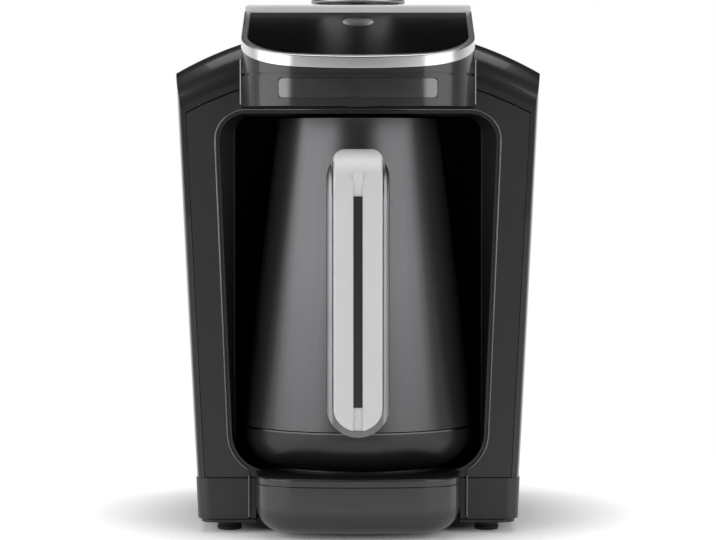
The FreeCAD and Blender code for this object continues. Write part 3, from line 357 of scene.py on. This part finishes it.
def make_materials():
    return {
        "anthracite_shell": moulded("satin anthracite", (0.0135, 0.0138, 0.0146), 0.37, 0.05),
        "gloss_shell": polished("glossy anthracite", (0.0150, 0.0152, 0.0160), 0.30),
        "niche_black": moulded("niche black", (0.0080, 0.0080, 0.0086), 0.42, 0.05),
        "satin_black": moulded("satin black", (0.0085, 0.0085, 0.0090), 0.34, 0.03),
        "piano_black": polished("panel black", (0.0012, 0.0012, 0.0014), 0.30,
                                orange_peel=0.004, coat=0.0, shine=0.05),
        "lens_smoke": smoked("key smoke", (0.012, 0.012, 0.013), 0.08),
        "chrome": plated("bright plating", (0.70, 0.70, 0.71), 0.27),
        "silver_paint": sprayed("silver lacquer", (0.77, 0.77, 0.78), 0.50),
        "pot_steel": turned_streaks("dark brushed pot", (0.115, 0.115, 0.120), 0.31, POT_AXIS_Y,
                                    metallic=0.85, streak=0.35),
        "hot_aluminium": ringed_plate("dark coated plate", (0.060, 0.060, 0.062), 0.42, POT_AXIS_Y),
        "frame_metal": plated("satin frame metal", (0.23, 0.23, 0.24), 0.28),
        "dark_metal": plated("dark satin metal", (0.14, 0.14, 0.145), 0.17),
        "steel": cast("plain steel", (0.50, 0.50, 0.51), 0.34),
        "silicone": soft_rubber("black silicone", (0.012, 0.012, 0.012)),
        "foot_rubber": soft_rubber("foot rubber", (0.010, 0.010, 0.010)),
        "board_green": printed_board("circuit board"),
        "part_black": moulded("component black", (0.015, 0.015, 0.015), 0.45, 0.05),
        "part_cream": moulded("component cream", (0.50, 0.45, 0.34), 0.50, 0.05),
        "lead_red": moulded("lead sleeve", (0.22, 0.015, 0.010), 0.55, 0.08),
        "lens_clear": smoked("sensor lens", (0.12, 0.13, 0.15), 0.05),
    }


# Geometry helpers


def dress(thing, material):
    thing.data.materials.clear()
    thing.data.materials.append(material)


def plain_object(name, mesh, material, body):
    thing = bpy.data.objects.new(name, mesh)
    bpy.context.scene.collection.objects.link(thing)
    dress(thing, material)
    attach(thing, body)
    return thing


def evaluated_copy(thing, name):
    """Mesh of an object with its modifiers applied."""
    graph = bpy.context.evaluated_depsgraph_get()
    mesh = bpy.data.meshes.new_from_object(thing.evaluated_get(graph))
    mesh.name = name
    return mesh


class Growth(Nodes):
    """A Geometry Nodes tree with named number inputs, which ends in real geometry with its material."""

    def __init__(self, name, **inputs):
        group = bpy.data.node_groups.new(name, "GeometryNodeTree")
        super().__init__(group)
        self.kinds = {"Geometry": "NodeSocketGeometry", "Finish": "NodeSocketMaterial"}
        self.kinds.update({key: "NodeSocketFloat" for key in inputs})
        for key, kind in self.kinds.items():
            socket = group.interface.new_socket(key, in_out="INPUT", socket_type=kind)
            if key in inputs:
                socket.default_value = inputs[key]
        group.interface.new_socket("Geometry", in_out="OUTPUT", socket_type="NodeSocketGeometry")
        source = group.nodes.new("NodeGroupInput")
        self.given = {key: Value(self, source.outputs[key]) for key in self.kinds}

    def finish(self, geometry):
        real = self.node("GeometryNodeRealizeInstances", {}, {0: geometry})
        done = self.node("GeometryNodeSetMaterial", {}, {"Geometry": real, "Material": self.given["Finish"]})
        end = self.tree.nodes.new("NodeGroupOutput")
        self.tree.links.new(done.socket, end.inputs[0])
        return self.tree


def grown(name, seed, tree, material, **values):
    """Plain mesh that a tree makes from a seed mesh."""
    draft = bpy.data.objects.new(name + "_draft", seed)
    bpy.context.scene.collection.objects.link(draft)
    modifier = draft.modifiers.new("growth", "NODES")
    modifier.node_group = tree
    values["Finish"] = material
    for item in tree.interface.items_tree:
        if item.in_out == "INPUT" and item.name in values:
            modifier[item.identifier] = values[item.name]
    mesh = evaluated_copy(draft, name)
    bpy.data.objects.remove(draft)
    return mesh


BEAD = 0.42 * MM


def bead_tree():
    """Round bead along a path of mesh edges."""
    g = Growth("bead", Radius=BEAD)
    path = g.node("GeometryNodeMeshToCurve", {}, {0: g.given["Geometry"]})
    section = {"Resolution": 16, "Radius": g.given["Radius"]}
    ring = g.node("GeometryNodeCurvePrimitiveCircle", {}, section)
    sweep = {"Curve": path, "Profile Curve": ring, "Fill Caps": True}
    return g.finish(g.node("GeometryNodeCurveToMesh", {}, sweep))


def corners_tree():
    """Copies of a piece at the four corners of a flat or upright field, which may be narrower below."""
    g = Growth("corners", **{"Low Width": 1.0, "High Width": 1.0, "Span": 1.0, "Upright": 0.0})
    corners = {"Size X": 1.0, "Size Y": 1.0, "Vertices X": 2, "Vertices Y": 2}
    field = g.node("GeometryNodeMeshGrid", {}, corners)
    u, v, w = g.split(g.node("GeometryNodeInputPosition"))
    low, high = g.given["Low Width"], g.given["High Width"]
    rise = v * g.given["Span"]
    across = u * (low + (high - low) * (v + 0.5))
    spot = g.join(across, rise * (1.0 - g.given["Upright"]), rise * g.given["Upright"])
    spots = g.node("GeometryNodeSetPosition", {}, {"Geometry": field, "Position": spot})
    copies = {"Points": spots, "Instance": g.given["Geometry"]}
    return g.finish(g.node("GeometryNodeInstanceOnPoints", {}, copies))


def path_mesh(name, points):
    """Open chain of edges through the points."""
    edges = [(index, index + 1) for index in range(len(points) - 1)]
    mesh = bpy.data.meshes.new(name)
    mesh.from_pydata([tuple(point) for point in points], edges, [])
    return mesh


def lathe(name, profile, segments, centre=(0, 0, 0)):
    """Closed turned mesh from (radius, height) points that start and end on the axis."""
    work = bmesh.new()
    poles = [work.verts.new((0, 0, profile[0][1])), work.verts.new((0, 0, profile[-1][1]))]
    rows = []
    turns = [2 * math.pi * k / segments for k in range(segments)]
    for radius, height in profile[1:-1]:
        rows.append([work.verts.new((radius * math.cos(turn), radius * math.sin(turn), height))
                     for turn in turns])
    for k in range(segments):
        after = (k + 1) % segments
        work.faces.new((poles[0], rows[0][after], rows[0][k]))
        work.faces.new((poles[1], rows[-1][k], rows[-1][after]))
        for low, high in zip(rows, rows[1:]):
            work.faces.new((low[k], low[after], high[after], high[k]))
    bmesh.ops.recalc_face_normals(work, faces=work.faces)
    bmesh.ops.translate(work, verts=work.verts, vec=centre)
    mesh = bpy.data.meshes.new(name)
    work.to_mesh(mesh)
    work.free()
    shade(mesh)
    return mesh


CREASE_ANGLE = math.radians(35.0)


def shade(mesh):
    """Smooth shading with creases kept at sharp edges."""
    for face in mesh.polygons:
        face.use_smooth = True
    mesh.set_sharp_from_angle(angle=CREASE_ANGLE)


def stand_for(name, mesh, material, *nodes):
    """Object made of a mesh that stands for CAD nodes of one body and slot."""
    thing = plain_object(name, mesh, material, BODY_OF[nodes[0]])
    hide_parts(*nodes)


MERGE_REACH = 2e-6
FLAT_ANGLE = math.radians(0.35)
EASED_ANGLE = math.radians(32.0)


def crisp(node, material, width):
    """Copy of a CAD node with its sharp edges eased, which stands for the node."""
    source = frame["nodes"][node]
    work = bmesh.new()
    work.from_mesh(source.data)
    bmesh.ops.remove_doubles(work, verts=work.verts, dist=MERGE_REACH)
    bmesh.ops.dissolve_limit(work, angle_limit=FLAT_ANGLE, verts=work.verts, edges=work.edges,
                             delimit={"NORMAL"})
    spread = SPREAD.get(node, 1.0)
    bmesh.ops.scale(work, vec=(spread, 1.0, spread), verts=work.verts,
                    space=Matrix.Translation(-box_middle(node)))
    mesh = bpy.data.meshes.new(node + "_eased")
    work.to_mesh(mesh)
    work.free()
    for face in mesh.polygons:
        face.use_smooth = True
    draft = bpy.data.objects.new(node + "_draft", mesh)
    bpy.context.scene.collection.objects.link(draft)
    bevel = draft.modifiers.new("ease", "BEVEL")
    bevel.width = width
    bevel.segments = 2
    bevel.limit_method = "ANGLE"
    bevel.angle_limit = EASED_ANGLE
    bevel.use_clamp_overlap = True
    level = draft.modifiers.new("level", "WEIGHTED_NORMAL")
    level.weight = 100
    finished = evaluated_copy(draft, node + "_eased")
    bpy.data.objects.remove(draft)
    stand_for(node + "_eased", finished, material, node)


# Dressing of the CAD nodes

# The rear cover nearly fills its seam, so that no light shows through the machine along both seams.
SPREAD = {"rear_cover": 1.0017}

# Width in millimetres of the eased edges of each piece
EASED = {
    "base_shell": 0.4, "pedestal_shell": 0.4,
    "platform": 0.25, "head_shell": 0.35, "panel_ring": 0.25, "control_panel": 0.2,
    "rear_deck": 0.3, "badge_plate": 0.2, "rear_cover": 0.3, "bottom_cover": 0.3,
    "handle_core": 0.3, "handle_inlay": 0.3,
}


def dress_nodes(materials):
    for node, thing in frame["nodes"].items():
        dress(thing, materials[SLOT_OF[node]])


def ease_nodes(materials):
    for node, width in EASED.items():
        crisp(node, materials[SLOT_OF[node]], width * MM)


# Feet, rear screws, beads and knob


FOOT_CHAMFER = 0.25 * MM
FOOT_ROUND = 0.9 * MM
FOOT_GROOVE = 0.35 * MM
FOOT_GROOVE_LEVELS = (0.42, 0.47, 0.56, 0.61)


def make_feet(materials):
    """Four rubber feet with a groove round each."""
    names = ("foot_front_left", "foot_front_right", "foot_back_left", "foot_back_right")
    left, right, back = [box_middle(name) for name in names[:3]]
    low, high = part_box(names[0])
    radius, height = (high.x - low.x) / 2, high.z
    waist = radius - FOOT_GROOVE
    edge_low, floor_low, floor_high, edge_high = [height * level for level in FOOT_GROOVE_LEVELS]
    profile = [(0, 0), (radius * 0.80, 0), (radius * 0.95, FOOT_CHAMFER), (radius, FOOT_ROUND),
               (radius, edge_low), (waist, floor_low), (waist, floor_high),
               (radius, edge_high), (radius, height), (0, height)]
    material = materials[SLOT_OF[names[0]]]
    field = {"Low Width": right.x - left.x, "High Width": right.x - left.x, "Span": back.y - left.y}
    mesh = grown("feet", lathe("foot", profile, 48), corners_tree(), material, **field)
    mesh.transform(Matrix.Translation(((left.x + right.x) / 2, (left.y + back.y) / 2, 0)))
    stand_for("rubber_feet", mesh, material, *names)


CROSS_WIDTH = 0.8 * MM
CROSS_LENGTH = 3.4 * MM
CROSS_DEPTH = 0.9 * MM


def cross_cutter(width, length, depth, top):
    """Cross-shaped block that cuts the driver recess of a screw."""
    work = bmesh.new()
    for wide, deep in ((width, length), (length, width)):
        block = bmesh.ops.create_cube(work, size=1.0)["verts"]
        bmesh.ops.scale(work, verts=block, vec=(wide, deep, depth * 2))
        bmesh.ops.translate(work, verts=block, vec=(0, 0, top))
    mesh = bpy.data.meshes.new("cross")
    work.to_mesh(mesh)
    work.free()
    return mesh


def cut_away(name, mesh, cutter_mesh):
    """Mesh with a closed cutter taken from it."""
    things = []
    for part in (mesh, cutter_mesh):
        thing = bpy.data.objects.new(part.name + "_draft", part)
        bpy.context.scene.collection.objects.link(thing)
        things.append(thing)
    cut = things[0].modifiers.new("cut", "BOOLEAN")
    cut.operation, cut.solver, cut.object = "DIFFERENCE", "EXACT", things[1]
    cut.use_self = True
    result = evaluated_copy(things[0], name)
    for thing in things:
        bpy.data.objects.remove(thing)
    return result


def make_rear_screws(materials):
    """Four pan-head screws with cross recesses, their heads sunk into the rear cover."""
    names = ("rear_screw_low_left", "rear_screw_low_right", "rear_screw_high_left", "rear_screw_high_right")
    low_left, low_right, high_left, high_right = [box_middle(name) for name in names]
    low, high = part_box(names[0])
    radius, depth = (high.x - low.x) / 2, high.y - low.y
    profile = [(0, 0), (radius, 0), (radius, depth * 0.62), (radius * 0.93, depth * 0.82),
               (radius * 0.72, depth * 0.95), (0, depth)]
    cross = cross_cutter(CROSS_WIDTH, CROSS_LENGTH, CROSS_DEPTH, depth)
    head = cut_away("screw_head", lathe("screw", profile, 40), cross)
    shade(head)
    head.transform(Matrix.Rotation(-math.pi / 2, 4, "X"))
    material = materials[SLOT_OF[names[0]]]
    field = {"Low Width": low_right.x - low_left.x, "High Width": high_right.x - high_left.x,
             "Span": high_left.z - low_left.z, "Upright": 1.0}
    mesh = grown("screws", head, corners_tree(), material, **field)
    mesh.transform(Matrix.Translation((0, low.y, (low_left.z + high_left.z) / 2)))
    stand_for("cover_screws", mesh, material, *names)


# Niche outline, its edge beads and the inlay's groove

NICHE_FOOT_HALF = 54.3 * MM
NICHE_TOP_HALF = 60.5 * MM
NICHE_LOW_ROUND = 18.0 * MM
NICHE_HIGH_ROUND = 13.0 * MM
NICHE_LIFT = 1.0 * MM
RECESS_WIDTH = 3.4 * MM
GROOVE_DROP = 9.6 * MM
BED_MARGIN = 0.4 * MM
BED_THICK = 0.12 * MM


def round_corner(before, corner, after, radius, steps=14):
    """Points of the arc that rounds a corner."""
    back, ahead = (before - corner).normalized(), (after - corner).normalized()
    half = back.angle(ahead) / 2
    centre = corner + (back + ahead).normalized() * (radius / math.sin(half))
    start = corner + back * (radius / math.tan(half)) - centre
    end = corner + ahead * (radius / math.tan(half)) - centre
    return [centre + start.slerp(end, step / steps).normalized() * radius for step in range(steps + 1)]


def niche_path():
    """Niche edge from the left of the pedestal, up over the top and down to its right."""
    foot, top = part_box("base_shell")[1].z + NICHE_LIFT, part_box("head_shell")[0].z - NICHE_LIFT
    low_left, low_right = [Vector((side * NICHE_FOOT_HALF, PLATE_Y, foot)) for side in (-1, 1)]
    high_left, high_right = [Vector((side * NICHE_TOP_HALF, PLATE_Y, top)) for side in (-1, 1)]
    path = []
    for before, corner, after, radius in ((low_right, low_left, high_left, NICHE_LOW_ROUND),
                                          (low_left, high_left, high_right, NICHE_HIGH_ROUND),
                                          (high_left, high_right, low_right, NICHE_HIGH_ROUND),
                                          (high_right, low_right, low_left, NICHE_LOW_ROUND)):
        path += round_corner(before, corner, after, radius)
    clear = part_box("pedestal_shell")[1].x + RECESS_WIDTH
    return [point for point in path if abs(point.x) > clear or point.z > high_left.z - NICHE_HIGH_ROUND]


def make_beads(materials):
    """Metal beads round the niche and beside the pedestal, and the rods of the head's trims."""
    tree = bead_tree()
    edge = materials["dark_metal"]
    low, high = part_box("base_shell")
    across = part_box("pedestal_shell")[1].x + RECESS_WIDTH
    paths = {"niche_edge": niche_path()}
    for name, side in (("left", -1), ("right", 1)):
        paths["recess_edge_" + name] = [Vector((side * across, PLATE_Y, low.z + MM)),
                                        Vector((side * across, PLATE_Y, high.z + NICHE_LIFT))]
    for name, path in paths.items():
        mesh = grown(name, path_mesh(name, path), tree, edge, Radius=BEAD)
        shade(mesh)
        bead = plain_object(name, mesh, edge, "casing")
    for name in ("head_trim_left", "head_trim_right"):
        low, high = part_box(name)
        radius = (high.x - low.x) / 2
        middle = Vector(((low.x + high.x) / 2, low.y + radius, low.z))
        path = [middle, Vector((middle.x, middle.y, high.z))]
        mesh = grown(name + "_rod", path_mesh(name, path), tree, materials[SLOT_OF[name]], Radius=radius)
        shade(mesh)
        stand_for(name + "_rod", mesh, materials[SLOT_OF[name]], name)


def make_groove_beds(materials):
    """Silver floor of the inlay's groove, above and below its dark strip."""
    inlay_low, inlay_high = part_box("handle_inlay")
    strip_low, strip_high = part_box("handle_strip")
    groove_top = inlay_high.z - GROOVE_DROP
    work = bmesh.new()
    for low, high in ((inlay_low.z + BED_MARGIN, strip_low.z), (strip_high.z, groove_top)):
        block = bmesh.ops.create_cube(work, size=1.0)["verts"]
        bmesh.ops.scale(work, verts=block, vec=(strip_high.x - strip_low.x, BED_THICK, high - low))
        middle = ((strip_low.x + strip_high.x) / 2, strip_high.y - BED_THICK / 2, (low + high) / 2)
        bmesh.ops.translate(work, verts=block, vec=middle)
    mesh = bpy.data.meshes.new("groove_beds")
    work.to_mesh(mesh)
    work.free()
    beds = plain_object("groove_beds", mesh, materials["silver_paint"], "pot")


def arc_points(centre, radius, start, end, steps):
    """(radius, height) points on a round edge, between two angles in degrees."""
    turns = [math.radians(start + (end - start) * k / steps) for k in range(steps + 1)]
    return [(centre[0] + radius * math.cos(turn), centre[1] + radius * math.sin(turn)) for turn in turns]


# Knob profile: its foot with a bead and a groove, then its round rim, its lip and its dish

KNOB_CAVITY = 2.0 * MM
KNOB_GROOVE = 0.3 * MM
KNOB_BEAD_HEIGHT = 0.6 * MM
KNOB_GROOVE_FLOOR = 1.4 * MM
KNOB_GROOVE_TOP = 1.9 * MM
KNOB_RIM = 1.2 * MM
KNOB_LIP_WIDTH = 2.6 * MM
KNOB_LIP_ROUND = 0.9 * MM
KNOB_DISH_INSET = 5.0 * MM
KNOB_DISH_DROPS = (0.95 * MM, 1.1 * MM, 1.2 * MM)


def make_knob(materials):
    """Plated knob: a bead at its foot, round rim and dished top."""
    low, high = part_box("selector_knob")
    radius, height = (high.x - low.x) / 2, high.z - low.z
    waist, inside = radius - KNOB_GROOVE, radius * 0.88
    dish = [height - drop for drop in KNOB_DISH_DROPS]
    profile = [(0, KNOB_CAVITY), (inside, KNOB_CAVITY), (inside, 0), (waist, 0)]
    profile += arc_points((waist, KNOB_BEAD_HEIGHT), KNOB_GROOVE, -45, 45, 4)
    profile += [(waist, KNOB_GROOVE_FLOOR), (radius, KNOB_GROOVE_TOP)]
    profile += arc_points((radius - KNOB_RIM, height - KNOB_RIM), KNOB_RIM, 0, 90, 6)
    profile += arc_points((radius - KNOB_LIP_WIDTH, height - KNOB_LIP_ROUND), KNOB_LIP_ROUND, 90, 150, 4)
    profile += [(radius - KNOB_DISH_INSET, dish[0]), (radius * 0.5, dish[1]), (0, dish[2])]
    mesh = lathe("knob", profile, 128, (0, box_middle("selector_knob").y, low.z))
    stand_for("turned_knob", mesh, materials[SLOT_OF["selector_knob"]], "selector_knob")


# Floor, background and lamps

FLOOR_REACH = 6.0
FLOOR_MIDDLE_Y = 0.02
BODY_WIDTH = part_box("casing_shell")[1].x * 2
BODY_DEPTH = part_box("casing_shell")[1].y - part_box("platform")[0].y
FLOOR_LIFT = 0.62
PALE, PALER = (0.92, 0.92, 0.92), (0.95, 0.95, 0.95)
PLAIN_WHITE = (1.0, 1.0, 1.0)
FOOTPRINT_REACH = 0.06
SHADOW_REACH = 0.13
WHITE_REACH = 0.30


def make_floor():
    """Pale floor with the object's shadow, which goes over to plain white further out."""
    reach = FLOOR_REACH
    mesh = bpy.data.meshes.new("floor")
    corners = [(-reach, -reach, 0), (reach, -reach, 0), (reach, reach, 0), (-reach, reach, 0)]
    mesh.from_pydata(corners, [], [(0, 1, 2, 3)])
    floor = bpy.data.objects.new("floor", mesh)
    bpy.context.scene.collection.objects.link(floor)
    s = Shader("pale floor")
    x, y, z = s.split(s.place())
    along = (y - FLOOR_MIDDLE_Y) * (BODY_WIDTH / BODY_DEPTH)
    distance = (x * x + along * along).power(0.5)
    tint = s.mix(s.noise(3.0) * 0.1, PALER, PALE)
    matt = s.node("ShaderNodeBsdfDiffuse", {}, {"Color": tint})
    lift = s.node("ShaderNodeEmission", {}, {"Color": PLAIN_WHITE, "Strength": FLOOR_LIFT})
    lit = s.node("ShaderNodeAddShader", {}, {0: matt, 1: lift})
    white = s.node("ShaderNodeEmission", {}, {"Color": PLAIN_WHITE, "Strength": 1.0})
    near = s.blend(s.ramp(distance, (FOOTPRINT_REACH, 0.0), (SHADOW_REACH, 1.0)), matt, lit)
    seen = s.blend(s.ramp(distance, (SHADOW_REACH, 0.0), (WHITE_REACH, 1.0)), near, white)
    s.finish(s.blend(s.light_path("Camera", "Glossy", "Transmission"), matt, seen))
    dress(floor, s.owner)


ROOM_LEVEL = 0.02
BACK_LEVEL = 1.3
WALL_TOP = 0.32
WALL_FULL = 0.6


def make_world():
    """White behind the object for what is seen, and a dim room with a pale back wall for the light."""
    world = bpy.data.worlds.new("studio")
    bpy.context.scene.world = world
    s = Shader(world, "ShaderNodeOutputWorld")
    x, y, z = s.split(s.node("ShaderNodeTexCoord", out=0))
    low = s.ramp(z, (0.0, 1.0), (WALL_TOP, 0.0))
    behind = s.ramp(y, (0.0, 0.0), (WALL_FULL, 1.0))
    level = low * behind * BACK_LEVEL + ROOM_LEVEL
    room = s.node("ShaderNodeBackground", {}, {"Color": s.join(level, level, level), "Strength": 1.0})
    white = s.node("ShaderNodeBackground", {}, {"Color": PLAIN_WHITE, "Strength": 1.0})
    s.finish(s.blend(s.light_path("Camera", "Transmission"), room, white))


LAMP_TARGET = Vector((0, 0, 0.12))


def make_lamp(name, place, size, power):
    data = bpy.data.lights.new(name, "AREA")
    data.shape = "RECTANGLE"
    data.size, data.size_y = size
    data.energy = power
    lamp = bpy.data.objects.new(name, data)
    bpy.context.scene.collection.objects.link(lamp)
    lamp.location = place
    lamp.rotation_euler = (LAMP_TARGET - Vector(place)).to_track_quat("-Z", "Y").to_euler()


SOFTBOX_REACH = 1.25
SOFTBOX_HEIGHT = 0.35


def softbox_place(turn):
    """Place of a softbox, turned about the pot from straight in front."""
    turn = math.radians(turn)
    return (math.sin(turn) * SOFTBOX_REACH, POT_AXIS_Y - math.cos(turn) * SOFTBOX_REACH, SOFTBOX_HEIGHT)


def make_lamps():
    make_lamp("left softbox", softbox_place(-60), size=(1.5, 1.4), power=15.0)
    make_lamp("right softbox", softbox_place(52), size=(1.25, 1.4), power=11.0)
    make_lamp("top sheet", (0, 0.1, 1.5), size=(1.4, 1.0), power=10.0)


# Everything, in order


def main():
    make_camera()
    materials = make_materials()
    dress_nodes(materials)
    ease_nodes(materials)
    make_feet(materials)
    make_rear_screws(materials)
    make_beads(materials)
    make_groove_beds(materials)
    make_knob(materials)
    make_floor()
    make_world()
    make_lamps()
    bpy.context.scene.view_settings.view_transform = "Standard"


main()
